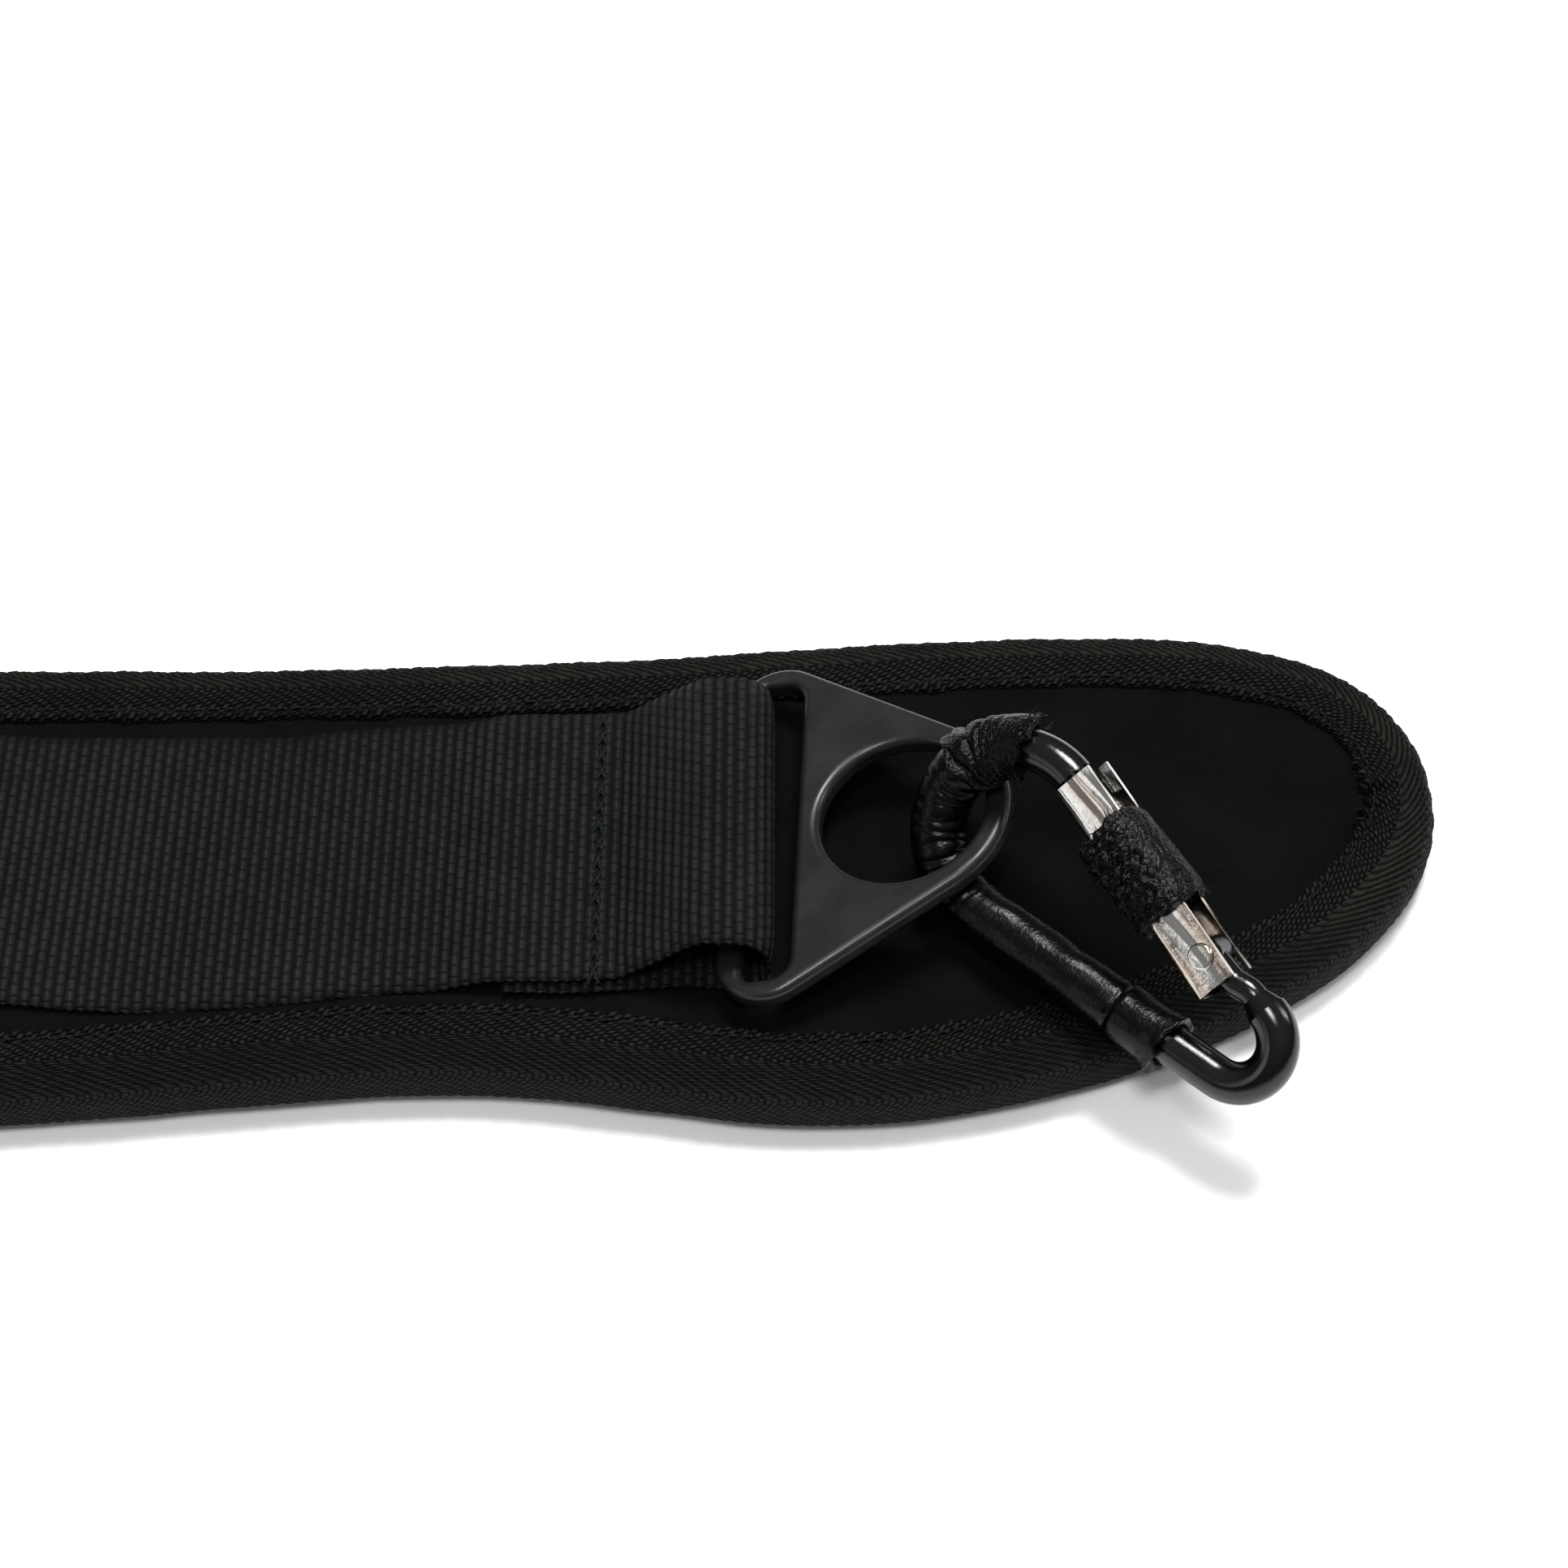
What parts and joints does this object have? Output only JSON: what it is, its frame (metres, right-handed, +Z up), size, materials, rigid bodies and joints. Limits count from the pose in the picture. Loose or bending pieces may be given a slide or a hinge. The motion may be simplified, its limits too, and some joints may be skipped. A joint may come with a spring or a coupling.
{
  "type": "saxophone neck strap",
  "caption": "Padded neck strap with bound edges, sewn webbing, triangular end rings, a slider and a spring-gate snap hook that carries a saxophone.",
  "frame": {"origin": "middle of the pad's underside, on the surface that the strap lies on", "axes": "+X along the strap towards the hook, +Y across it, +Z up through the pad's face"},
  "size_m": [0.7307, 0.0894, 0.0398],
  "materials": {
    "foam": "matt closed-cell foam",
    "neoprene": "smooth matt knit face",
    "lining": "fine brushed knit",
    "binding_tape": "herringbone twill tape",
    "thread": "bonded thread",
    "webbing": "ribbed woven nylon",
    "green_thread": "dark green thread",
    "ring_coat": "satin dark grey",
    "slider_plastic": "satin moulded",
    "black_enamel": "gloss black",
    "chrome_sheet": "polished",
    "rivet_steel": "bright",
    "spring_steel": "drawn wire",
    "leather_tube": "smooth black leather",
    "leather_wrap": "rough glued black leather"
  },
  "bodies": {
    "strap": {"pad_foam": "foam", "pad_top_cover": "neoprene", "pad_bottom_lining": "lining", "edge_binding": "binding_tape", "binding_seam_top": "thread", "binding_seam_bottom": "thread", "webbing": "webbing", "hook_end_stitches": "green_thread", "far_end_stitches": "green_thread", "tail_hem_stitches": "green_thread"},
    "hook_ring": {"hook_end_ring": "ring_coat"},
    "hook": {"hook_body": "black_enamel", "gate_rivet": "rivet_steel", "gate_spring": "spring_steel", "back_bar_sleeve": "leather_tube", "bend_sleeve": "leather_wrap"},
    "gate": {"hook_gate": "chrome_sheet", "gate_sleeve": "leather_wrap"},
    "far_ring": {"far_end_ring": "ring_coat"},
    "slider": {"strap_slider": "slider_plastic"}
  },
  "joints": [
    {"name": "hook_ring_hinge", "type": "hinge", "parent": "strap", "child": "hook_ring", "pos_m": [0.15705, 0.0028, 0.01343], "axis": [-0.0471, -0.9989, 0], "range_deg": [0, 75]},
    {"name": "hook_swing", "type": "hinge", "parent": "hook_ring", "child": "hook", "pos_m": [0.19625, -0.00562, 0.0256], "axis": [-0.5123, -0.5831, 0.6305], "range_deg": [0, 24]},
    {"name": "gate_hinge", "type": "hinge", "parent": "hook", "child": "gate", "pos_m": [0.22196, -0.02669, 0.027], "axis": [-0.5123, -0.5831, 0.6305], "range_deg": [0, 20], "stiffness_Nm_per_rad": 0.15, "springref_deg": -5.73},
    {"name": "far_ring_hinge", "type": "hinge", "parent": "strap", "child": "far_ring", "pos_m": [-0.43, 0.0024, 0.00408], "axis": [0, 1, 0], "range_deg": [0, 120]},
    {"name": "slider_slide", "type": "slide", "parent": "strap", "child": "slider", "axis": [-1, 0, 0], "range_m": [0, 0.045]}
  ]
}
